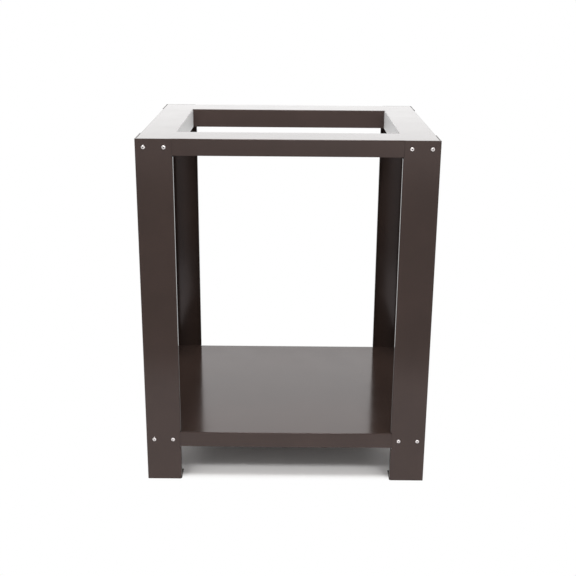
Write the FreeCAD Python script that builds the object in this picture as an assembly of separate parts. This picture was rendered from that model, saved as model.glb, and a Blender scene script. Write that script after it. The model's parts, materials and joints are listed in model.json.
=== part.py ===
import FreeCAD, Part
import math
import os
from FreeCAD import Vector

# Pizza oven stand of folded sheet steel, in millimetres.
# X runs to the right, Y to the back and Z up; the origin is on the floor, under the middle of the stand.

# Overall size over the legs
stand_width = 700.0
stand_depth = 600.0
stand_height = 868.0

# Sheet steel
leg_gauge = 2.0
frame_gauge = 2.0
shelf_gauge = 1.5
bend_radius = 0.5  # inside radius of every fold
corner_relief = 5.0  # what is cut off the aprons at each folded corner

# Legs: folded angles with a lip along both free edges
leg_face = 86.0  # width of each of the two faces
leg_lip = 12.0
lip_clearance = 3.0  # how far a lip stops short of what passes it

# Top frame: the rails are measured from the outside of the legs to the window
side_rail = 86.0
cross_rail = 103.0
frame_apron = 39.0
window_flange = 48.0

# Lower shelf
shelf_height = 129.8  # floor to the shelf's upper face
shelf_apron = 39.0

# Foot plates, welded into the bottoms of the legs
foot_plate_depth = 45.0
foot_plate_gauge = 3.0

# M5 button-head screws with their washers and nuts
screw_margin = 19.5  # from a leg's edges to the middle of its screws
screw_diameter = 5.0
screw_length = 12.0
head_diameter = 9.5
head_shoulder = 8.2  # diameter of the dome at half of its height
head_flat = 4.6  # diameter of the flat round the socket
head_height = 2.75
socket_width = 3.0
socket_depth = 1.56
hole_clearance = 0.25  # round a screw in its sheet holes
thread_clearance = 0.05  # round a screw in its nut
washer_diameter = 10.0
washer_hole = 5.3
washer_thickness = 1.0
nut_width = 8.0
nut_height = 4.0
shank_sides = 8  # of the shanks and the holes round them, few because they repeat
head_sides = 12  # of the screw heads and the washers

# Places worked out from the sizes above
left = -stand_width / 2
front = -stand_depth / 2
frame_width = stand_width - 2 * leg_gauge
frame_depth = stand_depth - 2 * leg_gauge
window_width = stand_width - 2 * side_rail
window_depth = stand_depth - 2 * cross_rail
frame_bottom = stand_height - frame_apron
shelf_bottom = shelf_height - shelf_apron
frame_screw_height = stand_height - frame_apron / 2
shelf_screw_height = shelf_height - shelf_apron / 2
screw_places = (screw_margin, leg_face - screw_margin)
stand_corners = [(side, end) for end in ("front", "rear") for side in ("left", "right")]
hexagon_sides = 6
upward = Vector(0, 0, 1)
backward = Vector(0, 1, 0)


def block(low, high):
    size = Vector(*high) - Vector(*low)
    return Part.makeBox(size.x, size.y, size.z, Vector(*low))


def rounded_block(width, depth, bottom, top, radius):
    # Block in the middle of the stand, its four upper edges rounded.
    solid = block((-width / 2, -depth / 2, bottom), (width / 2, depth / 2, top))
    upper_edges = [edge for edge in solid.Edges if edge.BoundBox.ZMin > (bottom + top) / 2]
    return solid.makeFillet(radius, upper_edges)


def folded_line(corners, radius):
    # Edges of a line through the corners, with an arc of the radius at each inner corner.
    edges = []
    start = corners[0]
    for before, corner, after in zip(corners, corners[1:], corners[2:]):
        into = (before - corner).normalize()
        out = (after - corner).normalize()
        reach = radius / math.tan(into.getAngle(out) / 2)
        middle = (into + out).normalize()
        sagitta = math.hypot(radius, reach) - radius
        arc_start = corner + into * reach
        arc_end = corner + out * reach
        edges.append(Part.makeLine(start, arc_start))
        edges.append(Part.Arc(arc_start, corner + middle * sagitta, arc_end).toShape())
        start = arc_end
    edges.append(Part.makeLine(start, corners[-1]))
    return edges


def sheet_section(corners, gauge):
    # Face of a sheet that follows the outside corners, with its thickness on the right-hand side.
    steps = [(b - a).normalize() for a, b in zip(corners, corners[1:])]
    normals = [Vector(step.y, -step.x, 0) for step in steps]
    inside = [corners[0] + normals[0] * gauge]
    for corner, normal, following in zip(corners[1:], normals, normals[1:]):
        inside.append(corner + (normal + following) * (gauge / (1 + normal.dot(following))))
    inside.append(corners[-1] + normals[-1] * gauge)
    edges = folded_line(corners, bend_radius + gauge)
    edges += folded_line(inside, bend_radius)
    edges.append(Part.makeLine(corners[0], inside[0]))
    edges.append(Part.makeLine(corners[-1], inside[-1]))
    return Part.Face(Part.Wire(Part.__sortEdges__(edges)))


def in_corner(shape, side, end):
    # A shape made at the front left corner, mirrored into the corner that is asked for.
    if side == "right":
        shape = shape.mirror(Vector(0, 0, 0), Vector(1, 0, 0))
    if end == "rear":
        shape = shape.mirror(Vector(0, 0, 0), Vector(0, 1, 0))
    return shape


def on_both_faces(make, height):
    # Copies of a shape at each screw of the front left corner, on the leg's front and on its side.
    shapes = []
    for place in screw_places:
        at_front = make()
        at_front.translate(Vector(left + place, front, height))
        at_side = make()
        at_side.rotate(Vector(0, 0, 0), upward, -90)
        at_side.translate(Vector(left, front + place, height))
        shapes += [at_front, at_side]
    return shapes


def outline(sides, radius, place):
    # Regular outline square to Y, its corners on a circle round the Y axis.
    turns = [2 * math.pi * corner / sides for corner in range(sides + 1)]
    return Part.makePolygon([Vector(radius * math.cos(t), place, radius * math.sin(t)) for t in turns])


def bar(sides, radius, start, length):
    return Part.Face(outline(sides, radius, start)).extrude(backward * length)


def screw_hole():
    depth = leg_gauge + max(frame_gauge, shelf_gauge) + 2 * hole_clearance
    return bar(shank_sides, screw_diameter / 2 + hole_clearance, -hole_clearance, depth)


def holes_in_corners(height):
    holes = on_both_faces(screw_hole, height)
    return [in_corner(hole, *corner) for corner in stand_corners for hole in holes]


def folded_tray(top, apron, gauge):
    # Upside-down tray between the legs, its aprons apart at the corners.
    bottom = top - apron
    outside_radius = bend_radius + gauge
    tray = rounded_block(frame_width, frame_depth, bottom, top, outside_radius)
    hollow = rounded_block(
        frame_width - 2 * gauge, frame_depth - 2 * gauge, bottom - apron, top - gauge, bend_radius
    )
    low = Vector(-frame_width / 2, -frame_depth / 2, bottom)
    relief = block(low, low + Vector(corner_relief, corner_relief, apron - outside_radius))
    reliefs = [in_corner(relief, *corner) for corner in stand_corners]
    return tray.cut(hollow).cut(reliefs)


def window_block(margin, bottom):
    across = window_width / 2 + margin
    along = window_depth / 2 + margin
    return block((-across, -along, bottom), (across, along, stand_height))


def rim_edges(solid, margin, height):
    # The four level edges of a solid that run round the window at a height.
    found = []
    for edge in solid.Edges:
        middle = edge.BoundBox.Center
        level = edge.BoundBox.ZLength < bend_radius / 2
        at_height = abs(middle.z - height) < bend_radius / 2
        across = abs(abs(middle.x) - window_width / 2 - margin) < bend_radius / 2
        along = abs(abs(middle.y) - window_depth / 2 - margin) < bend_radius / 2
        if level and at_height and (across or along):
            found.append(edge)
    return found


def make_top_frame():
    # The window's flange is folded down from the top, so its rim is round above and below the sheet.
    flange_bottom = stand_height - window_flange
    tray = folded_tray(stand_height, frame_apron, frame_gauge)
    frame = tray.fuse(window_block(frame_gauge, flange_bottom)).removeSplitter()
    frame = frame.makeFillet(bend_radius, rim_edges(frame, frame_gauge, stand_height - frame_gauge))
    frame = frame.cut(window_block(0, flange_bottom))
    frame = frame.makeFillet(bend_radius + frame_gauge, rim_edges(frame, 0, stand_height))
    return frame.cut(holes_in_corners(frame_screw_height))


def make_shelf():
    shelf = folded_tray(shelf_height, shelf_apron, shelf_gauge)
    return shelf.cut(holes_in_corners(shelf_screw_height))


def lip_notch(bottom, top):
    # What is cut off a leg's two lips, fold and all, where the frame, the shelf or a foot plate passes.
    fold = leg_face - leg_gauge - bend_radius
    reach = leg_face + lip_clearance
    low = Vector(left, front, bottom)
    tall = top - bottom
    at_front = Part.makeBox(reach - fold, reach, tall, low + Vector(fold, 0, 0))
    at_side = Part.makeBox(reach, reach - fold, tall, low + Vector(0, fold, 0))
    return at_front.fuse(at_side)


def make_leg():
    # Section from the lip of the front face, round the outer corner, to the lip of the side face.
    section = sheet_section(
        [
            Vector(left + leg_face, front + leg_lip, 0),
            Vector(left + leg_face, front, 0),
            Vector(left, front, 0),
            Vector(left, front + leg_face, 0),
            Vector(left + leg_lip, front + leg_face, 0),
        ],
        leg_gauge,
    )
    notches = [
        lip_notch(0, foot_plate_gauge + lip_clearance),
        lip_notch(shelf_bottom - lip_clearance, shelf_height + lip_clearance),
        lip_notch(frame_bottom - lip_clearance, stand_height),
    ]
    holes = on_both_faces(screw_hole, frame_screw_height) + on_both_faces(screw_hole, shelf_screw_height)
    return section.extrude(upward * stand_height).cut(notches).cut(holes)


def make_foot_plate():
    # Plate between the two faces of a leg, its corner rounded to lie in the fold.
    low = Vector(left + leg_gauge, front + leg_gauge, 0)
    plate = Part.makeBox(leg_face - leg_gauge, foot_plate_depth, foot_plate_gauge, low)
    fold = low + upward * (foot_plate_gauge / 2)
    in_fold = [edge for edge in plate.Edges if edge.BoundBox.Center.distanceToPoint(fold) < bend_radius]
    return plate.makeFillet(bend_radius, in_fold)


def faceted_dome(sides, profile):
    # Solid between outlines of the profile's radii, given with their places along Y, with flat facets.
    rings = [outline(sides, radius, place) for radius, place in profile]
    facets = [Part.Face(rings[0]), Part.Face(rings[-1])]
    for ring, following in zip(rings, rings[1:]):
        for edge, next_edge in zip(ring.Edges, following.Edges):
            start, end = [vertex.Point for vertex in edge.Vertexes]
            next_start, next_end = [vertex.Point for vertex in next_edge.Vertexes]
            facets.append(Part.Face(Part.makePolygon([start, end, next_end, next_start, start])))
    return Part.Solid(Part.Shell(facets))


def make_screw():
    # Domed head outside, with its underside at Y = 0, and the shank running inwards along Y.
    profile = [(head_flat / 2, -head_height), (head_shoulder / 2, -head_height / 2), (head_diameter / 2, 0)]
    head = faceted_dome(head_sides, profile)
    shank = bar(shank_sides, screw_diameter / 2, 0, screw_length)
    socket = bar(hexagon_sides, socket_width / math.sqrt(3), -head_height, socket_depth)
    return head.fuse(shank).cut(socket)


def make_washer(sheet_gauge):
    seat = leg_gauge + sheet_gauge
    disc = bar(head_sides, washer_diameter / 2, seat, washer_thickness)
    return disc.cut(bar(shank_sides, washer_hole / 2, seat, washer_thickness))


def make_nut(sheet_gauge):
    seat = leg_gauge + sheet_gauge + washer_thickness
    hexagon = bar(hexagon_sides, nut_width / math.sqrt(3), seat, nut_height)
    return hexagon.cut(bar(shank_sides, screw_diameter / 2 + thread_clearance, seat, nut_height))


def write(name, shape):
    shape.exportStep(f"parts/{name}.step")
    state = "valid" if shape.isValid() else "NOT VALID"
    print(name, len(shape.Solids), "solids", round(shape.Volume), "mm3", state)


def main():
    os.makedirs("parts", exist_ok=True)
    write("top_frame", make_top_frame())
    write("lower_shelf", make_shelf())
    leg = make_leg()
    foot_plate = make_foot_plate()
    fixings = {}
    for holder, height, gauge in (
        ("frame", frame_screw_height, frame_gauge),
        ("shelf", shelf_screw_height, shelf_gauge),
    ):
        fixings[f"{holder}_screws"] = on_both_faces(make_screw, height)
        fixings[f"{holder}_washers"] = on_both_faces(lambda: make_washer(gauge), height)
        fixings[f"{holder}_nuts"] = on_both_faces(lambda: make_nut(gauge), height)
    for side, end in stand_corners:
        write(f"leg_{end}_{side}", in_corner(leg, side, end))
        write(f"foot_plate_{end}_{side}", in_corner(foot_plate, side, end))
        for fixing, shapes in fixings.items():
            placed = [in_corner(shape, side, end) for shape in shapes]
            write(f"{fixing}_{end}_{side}", Part.makeCompound(placed))


main()
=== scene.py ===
import json
import math
import random
import bmesh
import bpy
from mathutils import Matrix, Vector


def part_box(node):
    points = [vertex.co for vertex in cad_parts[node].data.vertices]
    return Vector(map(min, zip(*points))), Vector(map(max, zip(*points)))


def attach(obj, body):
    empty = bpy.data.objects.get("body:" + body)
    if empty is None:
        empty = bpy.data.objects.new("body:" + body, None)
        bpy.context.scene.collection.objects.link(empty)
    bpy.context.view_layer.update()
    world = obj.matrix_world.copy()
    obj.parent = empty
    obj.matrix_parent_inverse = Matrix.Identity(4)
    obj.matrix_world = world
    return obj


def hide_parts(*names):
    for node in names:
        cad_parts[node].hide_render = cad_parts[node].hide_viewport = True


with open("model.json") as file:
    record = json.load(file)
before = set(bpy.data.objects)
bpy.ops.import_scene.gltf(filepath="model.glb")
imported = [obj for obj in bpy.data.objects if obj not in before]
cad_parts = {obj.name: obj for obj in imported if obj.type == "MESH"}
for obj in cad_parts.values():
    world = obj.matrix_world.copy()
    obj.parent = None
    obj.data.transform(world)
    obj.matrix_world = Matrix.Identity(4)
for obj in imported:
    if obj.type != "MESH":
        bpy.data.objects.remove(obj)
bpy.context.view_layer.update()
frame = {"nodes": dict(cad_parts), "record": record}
nodes = frame["nodes"]
weldWithin = 0.000002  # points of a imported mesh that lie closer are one
print("frame loaded,", len(nodes), "nodes")


# Sockets that take part in Python sums
def mathsPair(operation):
    def forward(self, other):
        return self.graph.maths(operation, self, other)

    def reflected(self, other):
        return self.graph.maths(operation, other, self)

    return forward, reflected


class Wire:
    def __init__(self, graph, socket):
        self.graph = graph
        self.socket = socket

    __add__, __radd__ = mathsPair("ADD")
    __sub__, __rsub__ = mathsPair("SUBTRACT")
    __mul__, __rmul__ = mathsPair("MULTIPLY")
    __pow__, __rpow__ = mathsPair("POWER")


class Graph:
    def __init__(self, owner):
        owner.use_nodes = True
        self.tree = owner.node_tree
        self.tree.nodes.clear()

    def add(self, kind, settings=None, inputs=None, output=0):  # any node: type, settings, sockets
        node = self.tree.nodes.new("ShaderNode" + kind)
        for name, value in (settings or {}).items():
            setattr(node, name, value)
        for name, value in (inputs or {}).items():
            if isinstance(value, Wire):
                self.tree.links.new(value.socket, node.inputs[name])
            else:
                node.inputs[name].default_value = value
        return Wire(self, node.outputs[output]) if node.outputs else node

    def maths(self, operation, *values):
        return self.add("Math", {"operation": operation}, dict(enumerate(values)))

    def less(self, value, limit):
        return self.maths("LESS_THAN", value, limit)

    def size(self, value):
        return self.maths("ABSOLUTE", value)

    def axes(self, place):  # across, along and up
        return [self.add("SeparateXYZ", {}, {"Vector": place}, axis) for axis in "XYZ"]

    def noise(self, place, size, detail=2.0, roughness=0.5):  # size of a lump in metres
        sockets = {"Vector": place, "Scale": 1 / size, "Detail": detail, "Roughness": roughness}
        return self.add("TexNoise", {}, sockets)

    def spread(self, value, low, high, toLow=0.0, toHigh=1.0, smooth=False):
        settings = {"interpolation_type": "SMOOTHSTEP" if smooth else "LINEAR"}
        sockets = {"Value": value, "From Min": low, "From Max": high, "To Min": toLow, "To Max": toHigh}
        return self.add("MapRange", settings, sockets)

    def tint(self, share, first, second):  # 6, 7 and output 2 are the colour sockets of a Mix node
        return self.add("Mix", {"data_type": "RGBA"}, {0: share, 6: first, 7: second}, 2)

    def join(self, share, first, second):
        return self.add("MixShader", {}, {0: share, 1: first, 2: second})

    def finish(self, shader, kind="OutputMaterial"):
        self.add(kind, {}, {"Surface": shader})


def newMaterial(name):
    material = bpy.data.materials.new(name)
    return material, Graph(material)


def grey(level):
    return (level, level, level, 1)


# Faces on which the paint carries painted light or painted shade
maskSkin = 0.0003  # how far a mask reaches past its faces
window = {"clearance": 0.002, "bend": 0.0025}  # its opening in the record stops short of the walls


def windowWalls(graph, place):  # 1 on the faces that look into the window, where light is painted: at its sides, at its ends
    openings = {item["name"]: item["box_m"] for item in frame["record"]["physics"]["openings"]}
    low, high = openings["top_window"]
    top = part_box("top_frame")[1][2]
    across, along, height = graph.axes(place)
    bendStart = top - window["bend"]
    depth = graph.spread(height, bendStart, top, maskSkin, maskSkin + window["bend"])
    fromTop = graph.spread(height, bendStart, top, 1.0, 0.0) * graph.less(low[2], height)
    walls = []
    for axis, (over, beside) in enumerate(((across, along), (along, across))):
        behindWall = graph.size(over) - (high[axis] + window["clearance"])
        onWall = graph.less(behindWall, depth) * graph.less(-maskSkin, behindWall)
        betweenCorners = graph.less(graph.size(beside), high[1 - axis] + window["clearance"] - maskSkin)
        walls.append(onWall * betweenCorners * fromTop)
    return walls


def legInsides(graph, place):  # 1 on the faces of the legs that look into the stand, where shade is painted
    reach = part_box("leg_rear_right")[1]
    across, along = graph.axes(place)[:2]
    insideAcross = graph.less(graph.size(across), reach[0] - maskSkin)
    return insideAcross * graph.less(graph.size(along), reach[1] - maskSkin)


# Paint on all the folded sheets
powderCoat = {
    "shade": (0.0338, 0.0219, 0.0179, 1),
    "warmShade": (0.0410, 0.0262, 0.0215, 1),
    "paleWallPaintedLight": grey(0.71),  # side walls of the window, painted pale grey: painted light on the brown sheet
    "endWallPaintedLight": (0.0420, 0.0281, 0.0238, 1),  # its end walls, which mirror nothing there, painted a lighter brown: painted light
    "endWallPaintedLightWarm": (0.0510, 0.0336, 0.0286, 1),
    "dullRoughness": 0.5,
    "insidePaintedShade": (0.0243, 0.0158, 0.0129, 1),  # insides of the legs, painted darker brown: painted shade
    "insidePaintedShadeWarm": (0.0295, 0.0189, 0.0155, 1),
    "ior": 1.42,
    "glossTint": (1.0, 0.89, 0.90, 1),
    "mottle": {"size": 0.11, "detail": 4.0},
    "mottleRange": (0.32, 0.68),
    "mottleShare": 0.7,
    "grain": {"size": 0.0009, "detail": 3.0},
    "grainRange": (0.3, 0.7),
    "grainShare": 0.3,
    "smear": {"size": 0.075, "detail": 5.0, "roughness": 0.6},
    "smearRange": (0.35, 0.75),
    "gloss": 0.115,
    "dullest": 0.165,
    "peel": {"size": 0.0024, "detail": 2.0, "roughness": 0.45},  # orange peel
    "finePeel": {"size": 0.0006, "detail": 1.0},
    "fineShare": 0.15,
    "peelHeight": 0.000005,
    "peelStrength": 0.55,
}


def makePowderCoat(name, ofLegs):
    coat = powderCoat
    material, graph = newMaterial(name)
    place = graph.add("TexCoord", output="Object")  # metres, as the sheets lie
    mottle = graph.spread(graph.noise(place, **coat["mottle"]), *coat["mottleRange"])
    grain = graph.spread(graph.noise(place, **coat["grain"]), *coat["grainRange"])
    warmth = mottle * coat["mottleShare"] + grain * coat["grainShare"]
    brown = graph.tint(warmth, coat["shade"], coat["warmShade"])
    smear = graph.spread(graph.noise(place, **coat["smear"]), *coat["smearRange"])
    roughness = graph.spread(smear, 0.0, 1.0, coat["gloss"], coat["dullest"])
    if ofLegs:
        # painted shade: the legs' insides take a darker brown
        paintedShadeBrown = graph.tint(warmth, coat["insidePaintedShade"], coat["insidePaintedShadeWarm"])
        colour = graph.tint(legInsides(graph, place), brown, paintedShadeBrown)
    else:
        # painted light: the window's side walls are pale grey and its end walls a lighter brown
        sides, ends = windowWalls(graph, place)
        dull = sides + ends
        paintedLightBrown = graph.tint(warmth, coat["endWallPaintedLight"], coat["endWallPaintedLightWarm"])
        colour = graph.tint(sides, graph.tint(ends, brown, paintedLightBrown), coat["paleWallPaintedLight"])
        roughness = roughness * (1 - dull) + dull * coat["dullRoughness"]
    peel = graph.noise(place, **coat["peel"])
    height = peel + graph.noise(place, **coat["finePeel"]) * coat["fineShare"]
    relief = {"Strength": coat["peelStrength"], "Distance": coat["peelHeight"], "Height": height}
    sockets = {"Base Color": colour, "Roughness": roughness, "Normal": graph.add("Bump", {}, relief)}
    sockets.update({"IOR": coat["ior"], "Specular Tint": coat["glossTint"]})
    graph.finish(graph.add("BsdfPrincipled", {}, sockets))
    return material


# Metal of the fasteners, with the lathe's rings round their axes
screwSteel = {
    "bright": (0.97, 0.93, 0.92, 1),
    "dark": (0.90, 0.86, 0.85, 1),
    # painted shade in the socket's hollow
    "paintedSocketShade": (0.22, 0.20, 0.20, 1),
    "ringPitch": 0.00016,
    "ringHeight": 0.000004,
    "polished": 0.56,
    "scuffed": 0.68,
    "scuffSize": 0.0014,
}
zincPlate = {
    "bright": (0.62, 0.63, 0.65, 1),
    "dark": (0.42, 0.43, 0.46, 1),
    "paintedSocketShade": (0.16, 0.15, 0.15, 1),
    "ringPitch": 0.00045,
    "ringHeight": 0.000003,
    "polished": 0.32,
    "scuffed": 0.52,
    "scuffSize": 0.0022,
}
turnedFinish = {
    "scuffDetail": 4.0,
    "scuffRoughness": 0.6,
    "scuffRange": (0.3, 0.7),
    "scuffShare": 0.6,
    "ringShare": 0.12,
    "wobblesPerScuff": 3,
    "wobbleReach": 2.0,  # how far a wobble shifts a ring, in radians
    "ringStrength": 0.6,
}


def makeSteel(name, steel):
    finish = turnedFinish
    material, graph = newMaterial(name)
    place = graph.add("TexCoord", output="Object")
    fromAxis = graph.add("Attribute", {"attribute_name": "fromAxis"}, output="Fac")
    inSocket = graph.add("Attribute", {"attribute_name": "inSocket"}, output="Fac")
    scuffs = graph.noise(place, steel["scuffSize"], finish["scuffDetail"], finish["scuffRoughness"])
    scuff = graph.spread(scuffs, *finish["scuffRange"])
    wobble = graph.noise(place, steel["scuffSize"] / finish["wobblesPerScuff"])
    wave = fromAxis * (2 * math.pi / steel["ringPitch"]) + wobble * finish["wobbleReach"]
    rings = graph.maths("SINE", wave)
    darkness = scuff * finish["scuffShare"] + (rings + 1) * finish["ringShare"]
    metal = graph.tint(darkness, steel["bright"], steel["dark"])
    # painted shade: the sockets take a dark colour
    colour = graph.tint(inSocket, metal, steel["paintedSocketShade"])
    roughness = graph.spread(scuff, 0.0, 1.0, steel["polished"], steel["scuffed"])
    relief = {"Strength": finish["ringStrength"], "Distance": steel["ringHeight"], "Height": rings + scuff}
    sockets = {"Base Color": colour, "Metallic": 1.0, "Roughness": roughness}
    sockets["Normal"] = graph.add("Bump", {}, relief)
    graph.finish(graph.add("BsdfPrincipled", {}, sockets))
    return material


paint = makePowderCoat("brownPowderCoat", False)
legPaint = makePowderCoat("brownPowderCoatOfLegs", True)
screwMetal = makeSteel("brightScrewSteel", screwSteel)
zincMetal = makeSteel("zincPlate", zincPlate)
print("materials made")


# Folded sheets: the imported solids, painted, with the edges eased as paint leaves them
sheetEdges = {
    "width": 0.00035,
    "segments": 2,
    "sharpFrom": 32.0,  # degrees
    "closeWithin": 0.00002,  # slivers where eased edges meet
    "faceWeight": 100,  # large faces keep flat shading
}


def dressSheet(item, coat):
    mesh = item.data
    mesh.materials.clear()
    mesh.materials.append(coat)
    mesh.attributes.remove(mesh.attributes["custom_normal"])
    mesh.attributes.remove(mesh.attributes["sharp_edge"])
    mesh.polygons.foreach_set("use_smooth", [True] * len(mesh.polygons))
    weld = item.modifiers.new("joinFaces", "WELD")
    weld.merge_threshold = weldWithin
    bevel = item.modifiers.new("easedEdges", "BEVEL")
    bevel.width = sheetEdges["width"]
    bevel.segments = sheetEdges["segments"]
    bevel.limit_method = "ANGLE"
    bevel.angle_limit = math.radians(sheetEdges["sharpFrom"])
    close = item.modifiers.new("closedCorners", "WELD")
    close.merge_threshold = sheetEdges["closeWithin"]
    normals = item.modifiers.new("flatFaces", "WEIGHTED_NORMAL")
    normals.weight = sheetEdges["faceWeight"]
    normals.keep_sharp = False


sheets = [name for name in nodes if name.startswith(("top_frame", "lower_shelf", "leg_", "foot_plate_"))]
for name in sheets:
    dressSheet(nodes[name], legPaint if name.startswith("leg_") else paint)
print("sheets painted:", len(sheets))


# Fasteners, in millimetres along their own axis
mm = 0.001
screw = {
    "headRadius": 4.75,
    "headHeight": 2.75,
    "rimHeight": 0.2,
    "rimChamfer": 0.08,
    "flatRadius": 2.3,
    "domeSteps": 8,
    "socketFlat": 1.5,  # half of the key's width
    "socketDepth": 1.56,
    "socketChamfer": 0.22,
    "socketMargin": 0.05,  # past the socket's corners, still in its shade
    "drillRadius": 1.395,  # of the cone in the socket's floor
    "drillDepth": 0.45,
    "drillTip": 0.05,
    "shankRadius": 2.46,
    "coreRadius": 2.05,
    "threadFrom": 8.2,
    "threadPitch": 0.8,
    "threadRows": 8,  # to each turn
    "length": 12.0,
    "tipChamfer": 0.45,
    "sides": 48,
}
washer = {"outer": 5.0, "hole": 2.65, "thickness": 1.0, "edge": 0.14, "edgeRound": 0.3, "sides": 48}
nut = {
    "flat": 4.0,
    "bore": 2.52,
    "height": 4.0,
    "boreChamfer": 0.3,
    "faceRadius": 3.75,
    "faceChamfer": 30.0,  # degrees
    "sides": 48,
}
fixing = {"sharpFrom": 34.0, "seed": 5}  # degrees, and a seed for how far each one is turned
chance = random.Random(fixing["seed"])


def hexRadius(flat, angle):
    third = math.pi / 3
    return flat / math.cos(angle % third - third / 2)


def ring(sides, radius, height):  # radius and height are numbers or follow the angle
    points = []
    for side in range(sides):
        angle = 2 * math.pi * side / sides
        reach = radius(angle) if callable(radius) else radius
        level = height(angle) if callable(height) else height
        points.append(Vector((reach * math.cos(angle), reach * math.sin(angle), level)))
    return points


def socketWall(angle):
    return hexRadius(screw["socketFlat"], angle)


def socketRings():
    sides, top = screw["sides"], screw["headHeight"]
    floor = top - screw["socketDepth"]
    return [
        ring(sides, screw["drillTip"], floor - screw["drillDepth"]),
        ring(sides, screw["drillRadius"], floor),
        ring(sides, socketWall, floor),
        ring(sides, socketWall, top - screw["socketChamfer"]),
        ring(sides, socketWall(0) + screw["socketChamfer"], top),
    ]


def headRings():
    flat, rim, sides = screw["flatRadius"], screw["headRadius"], screw["sides"]
    top, bottom = screw["headHeight"], screw["rimHeight"]
    rise = rim**2 - flat**2 + bottom**2 - top**2
    centre = rise / (2 * (bottom - top))  # of the dome's circle, on the axis
    dome = math.hypot(flat, top - centre)
    first, last = math.asin(flat / dome), math.asin(rim / dome)
    rings = []
    for step in range(screw["domeSteps"] + 1):
        turn = first + (last - first) * step / screw["domeSteps"]
        rings.append(ring(sides, dome * math.sin(turn), centre + dome * math.cos(turn)))
    rings.append(ring(sides, rim, screw["rimChamfer"]))
    rings.append(ring(sides, rim - screw["rimChamfer"], 0.0))
    return rings


def shankRings():
    shank, core, sides = screw["shankRadius"], screw["coreRadius"], screw["sides"]
    start, pitch, rows = screw["threadFrom"], screw["threadPitch"], screw["threadRows"]
    end = screw["length"] - screw["tipChamfer"]
    middle, depth = (shank + core) / 2, (shank - core) / 2
    rings = [ring(sides, shank, 0.0), ring(sides, shank, -start)]
    for row in range(1, int((end - start) / pitch * rows)):
        turn = 2 * math.pi * row / rows
        level = -start - row * pitch / rows
        rings.append(ring(sides, lambda angle: middle + depth * math.cos(turn - angle), level))
    rings.append(ring(sides, core, -end))
    rings.append(ring(sides, core - screw["tipChamfer"], -screw["length"]))
    return rings


def screwRings():
    return socketRings() + headRings() + shankRings(), False


def washerRings():
    half, edge = washer["thickness"] / 2, washer["edge"]
    eased = edge * washer["edgeRound"]
    outline = [
        (washer["hole"], half - edge),
        (washer["hole"] + edge, half),
        (washer["outer"] - edge, half),
        (washer["outer"] - eased, half - eased),
        (washer["outer"], half - edge),
    ]
    outline += [(radius, -height) for radius, height in reversed(outline)]
    return [ring(washer["sides"], radius, height) for radius, height in outline], True


def nutFlank(angle):
    return hexRadius(nut["flat"], angle)


def nutCorner(angle):  # height of the chamfer's edge
    slope = math.tan(math.radians(nut["faceChamfer"]))
    return nut["height"] / 2 - (nutFlank(angle) - nut["faceRadius"]) * slope


def nutRings():
    half, sides = nut["height"] / 2, nut["sides"]
    rings = [
        ring(sides, nut["bore"], half - nut["boreChamfer"]),
        ring(sides, nut["bore"] + nut["boreChamfer"], half),
        ring(sides, nut["faceRadius"], half),
        ring(sides, nutFlank, nutCorner),
        ring(sides, nutFlank, lambda angle: -nutCorner(angle)),
        ring(sides, nut["faceRadius"], -half),
        ring(sides, nut["bore"] + nut["boreChamfer"], -half),
        ring(sides, nut["bore"], nut["boreChamfer"] - half),
    ]
    return rings, True


def solidBoxes(node):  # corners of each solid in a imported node
    mesh = bmesh.new()
    mesh.from_mesh(nodes[node].data)
    bmesh.ops.remove_doubles(mesh, verts=mesh.verts, dist=weldWithin)
    left = set(mesh.verts)
    boxes = []
    while left:
        group = [left.pop()]
        for vertex in group:  # the group grows while it is walked
            near = {edge.other_vert(vertex) for edge in vertex.link_edges} & left
            left -= near
            group += near
        low = Vector([min(vertex.co[axis] for vertex in group) for axis in range(3)])
        high = Vector([max(vertex.co[axis] for vertex in group) for axis in range(3)])
        boxes.append((low, high))
    mesh.free()
    return sorted(boxes, key=lambda box: tuple(box[0]))


def outwardPlace(low, high, pick, seatBelowTop):  # own axis out of the stand, turned by chance
    size = high - low
    axis = pick(range(3), key=lambda index: size[index])
    middle = (low + high) / 2
    outward = Vector((0, 0, 0))
    outward[axis] = math.copysign(1, middle[axis])
    seat = middle.copy()
    if seatBelowTop is not None:
        end = high if outward[axis] > 0 else low
        seat[axis] = end[axis] - outward[axis] * seatBelowTop
    turn = Matrix.Rotation(chance.uniform(0, 2 * math.pi), 4, "Z")
    return Matrix.Translation(seat) @ outward.to_track_quat("Z", "Y").to_matrix().to_4x4() @ turn


def joinLoops(builder, loops, closed):  # closed ones meet again, others end in flat faces
    pairs = list(zip(loops, loops[1:]))
    if closed:
        pairs.append((loops[-1], loops[0]))
    else:
        builder.faces.new(loops[0])
        builder.faces.new(reversed(loops[-1]))
    for loop, following in pairs:
        loopOn = loop[1:] + loop[:1]
        followingOn = following[1:] + following[:1]
        for start, end, farEnd, far in zip(loop, loopOn, followingOn, following):
            builder.faces.new((end, start, far, farEnd))


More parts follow.
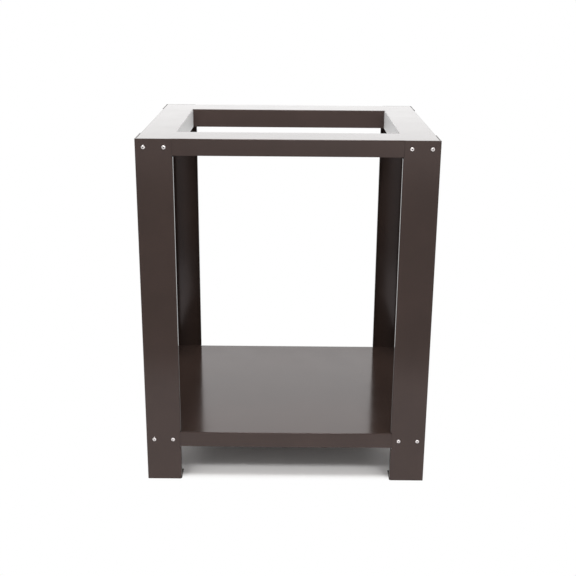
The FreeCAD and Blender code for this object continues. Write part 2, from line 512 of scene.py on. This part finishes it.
def makeFixing(node, makeRings, metal, pick, seatBelowTop=None):
    rings, closed = makeRings()
    socketReach = socketWall(0) + screw["socketMargin"]
    builder = bmesh.new()
    fromAxis = builder.verts.layers.float.new("fromAxis")
    inSocket = builder.verts.layers.float.new("inSocket")
    for low, high in solidBoxes(node):
        place = outwardPlace(low, high, pick, seatBelowTop)
        loops = []
        for points in rings:
            loop = []
            for point in points:
                vertex = builder.verts.new(place @ (point * mm))
                vertex[fromAxis] = point.xy.length * mm
                vertex[inSocket] = float(point.z > 0 and point.xy.length < socketReach)
                loop.append(vertex)
            loops.append(loop)
        joinLoops(builder, loops, closed)
    bmesh.ops.recalc_face_normals(builder, faces=builder.faces)
    mesh = bpy.data.meshes.new("turned_" + node)
    builder.to_mesh(mesh)
    builder.free()
    mesh.polygons.foreach_set("use_smooth", [True] * len(mesh.polygons))
    mesh.set_sharp_from_angle(angle=math.radians(fixing["sharpFrom"]))
    mesh.materials.append(metal)
    piece = bpy.data.objects.new("turned_" + node, mesh)
    bpy.context.scene.collection.objects.link(piece)
    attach(piece, "root")
    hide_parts(node)


for name in sorted(nodes):
    if "_screws_" in name:
        makeFixing(name, screwRings, screwMetal, max, screw["headHeight"] * mm)
    elif "_washers_" in name:
        makeFixing(name, washerRings, zincMetal, min)
    elif "_nuts_" in name:
        makeFixing(name, nutRings, zincMetal, min)
print("fasteners turned")


# Floor, backdrop and lamps
white = grey(1)
studio = {
    "floorHalf": 9.0,
    "floorColour": (0.97, 0.955, 0.945, 1),
    "roomFloor": grey(0.35),  # the same floor, farther in front
    "shadeFrom": (-0.285, -0.270),  # the floor's own shade stays inside this box, then fades into white
    "shadeTo": (0.285, 0.35),
    "shadeFade": (0.0, 0.035),
    "nearGloss": grey(1.22),  # what gloss shows of the floor in front
    "nearEdge": (-0.60, 0.60),
    "roomLeft": grey(0.545),  # of the room beyond it, from left to right
    "roomRight": grey(0.64),
    "sideEdge": (-0.50, 0.50),
    "roomEdge": (-1.20, -0.85),
    "farLeft": grey(1.06),  # of the room's far end, which is lighter again
    "farRight": grey(1.3),
    "farEdge": (-5.20, -3.60),
    "roomAbove": grey(0.57),  # and of the room above the floor
    "horizon": (-0.15, 0.15),
    "fill": 0.575,  # light from all round
}
lamps = {
    "keyLeft": {"place": (-2.3, -2.25, 2.50), "aim": (-2.3, -0.25, 0.3), "size": (2.6, 0.45), "power": 14.5},
    "keyRight": {"place": (2.3, -2.25, 2.50), "aim": (2.3, -0.25, 0.3), "size": (2.6, 0.45), "power": 14.5},
    "nearLeft": {"place": (-1.0, -2.25, 2.50), "aim": (0, -0.25, 0.3), "size": (0.6, 0.45), "power": 15.0},
    "nearRight": {"place": (1.0, -2.25, 2.50), "aim": (0, -0.25, 0.3), "size": (0.6, 0.45), "power": 15.0},
    "sideLeft": {"place": (-2.4, 0.3, 1.6), "aim": (-0.3, -0.1, 0), "size": (1.0, 0.5), "power": 5.0},
    "sideRight": {"place": (2.4, 0.3, 1.6), "aim": (0.3, -0.1, 0), "size": (1.0, 0.5), "power": 3.8},
    "topLight": {"place": (0, -1.02, 3.20), "aim": (0, -0.3, 0), "size": (0.75, 0.75), "power": 34.0},
    "backdropLight": {"place": (0, 2.6, 2.5), "aim": (0, 0, 2.5), "size": (6.0, 3.0), "power": 49.5},
}
onlyInGloss = ["backdropLight"]
notInGloss = ["nearLeft", "nearRight", "sideLeft", "sideRight"]


def seenWhite(graph):  # 1 for what is seen straight, in gloss or through glass, and 1 for gloss alone
    rays = ["Is Camera Ray", "Is Glossy Ray", "Is Transmission Ray"]
    straight, glossy, through = [graph.add("LightPath", output=ray) for ray in rays]
    return graph.maths("MINIMUM", straight + glossy + through, 1), glossy


def makeFloor():
    half = studio["floorHalf"]
    corners = [(-half, -half, 0), (half, -half, 0), (half, half, 0), (-half, half, 0)]
    mesh = bpy.data.meshes.new("studioFloor")
    mesh.from_pydata(corners, [], [(0, 1, 2, 3)])
    floor = bpy.data.objects.new("studioFloor", mesh)
    bpy.context.scene.collection.objects.link(floor)
    material, graph = newMaterial("whiteFloor")
    across, along = graph.axes(graph.add("TexCoord", output="Object"))[:2]
    beyond = []
    for axis, here in enumerate((across, along)):
        past = graph.maths("MAXIMUM", here - studio["shadeTo"][axis], 0)
        before = graph.maths("MAXIMUM", studio["shadeFrom"][axis] - here, 0)
        beyond.append(past + before)
    away = (beyond[0] * beyond[0] + beyond[1] * beyond[1]) ** 0.5
    lit = graph.spread(away, *studio["shadeFade"], smooth=True)
    seen, glossy = seenWhite(graph)
    near = graph.spread(along, *studio["nearEdge"], 1.0, 0.0, True)
    room = graph.spread(along, *studio["roomEdge"], 1.0, 0.0, True)
    far = graph.spread(along, *studio["farEdge"], 1.0, 0.0, True)
    right = graph.spread(across, *studio["sideEdge"], smooth=True)
    nearShine = graph.tint(near, white, studio["nearGloss"])
    roomShine = graph.tint(right, studio["roomLeft"], studio["roomRight"])
    farShine = graph.tint(right, studio["farLeft"], studio["farRight"])
    shine = graph.tint(room, nearShine, graph.tint(far, roomShine, farShine))
    glow = graph.add("Emission", {}, {"Color": graph.tint(glossy, white, shine)})
    floorColour = graph.tint(room, studio["floorColour"], studio["roomFloor"])
    shade = graph.add("BsdfDiffuse", {}, {"Color": floorColour})
    fromAbove = graph.join(seen * lit, shade, glow)
    fromBelow = graph.add("BsdfTransparent")  # so that the underside can be looked at
    underneath = graph.add("NewGeometry", output="Backfacing")
    graph.finish(graph.join(underneath, fromAbove, fromBelow))
    mesh.materials.append(material)


def makeWorld():
    world = bpy.data.worlds.new("studio")
    bpy.context.scene.world = world
    graph = Graph(world)
    seen, glossy = seenWhite(graph)
    backward = graph.axes(graph.add("TexCoord", output="Generated"))[1]
    inFront = graph.spread(backward, *studio["horizon"], 1.0, 0.0, True)
    shine = graph.tint(inFront * glossy, white, studio["roomAbove"])
    backdrop = graph.add("Background", {}, {"Color": shine})
    fill = graph.add("Background", {}, {"Color": white, "Strength": studio["fill"]})
    graph.finish(graph.join(seen, fill, backdrop), "OutputWorld")


def makeLamp(name, place, aim, size, power):
    lamp = bpy.data.lights.new(name, "AREA")
    lamp.shape = "RECTANGLE"
    lamp.size, lamp.size_y = size
    lamp.energy = power
    holder = bpy.data.objects.new(name, lamp)
    holder.location = place
    holder.rotation_euler = (Vector(aim) - Vector(place)).to_track_quat("-Z", "Y").to_euler()
    holder.visible_camera = False
    holder.visible_diffuse = name not in onlyInGloss
    holder.visible_glossy = name not in notInGloss
    bpy.context.scene.collection.objects.link(holder)


makeFloor()
makeWorld()
for name, lamp in lamps.items():
    makeLamp(name, **lamp)
print("studio lit")


# Camera at the photograph's place
camera = {
    "lens": 60.759,
    "sensor": 36.0,
    "place": (0.00709, -2.50521, 1.23319),
    "pitch": 18.073,  # degrees below level
    "yaw": 0.115,  # to the left
    "roll": 0.441,
}


def makeCamera():
    lens = bpy.data.cameras.new("camera")
    lens.lens = camera["lens"]
    lens.sensor_width = camera["sensor"]
    eye = bpy.data.objects.new("camera", lens)
    turn = Matrix.Rotation(math.radians(camera["yaw"]), 4, "Z")
    tilt = Matrix.Rotation(math.radians(90 - camera["pitch"]), 4, "X")
    lean = Matrix.Rotation(math.radians(camera["roll"]), 4, "Z")
    eye.matrix_world = Matrix.Translation(camera["place"]) @ turn @ tilt @ lean
    bpy.context.scene.collection.objects.link(eye)
    bpy.context.scene.camera = eye


makeCamera()
bpy.context.scene.view_settings.view_transform = "Standard"
print("camera set")
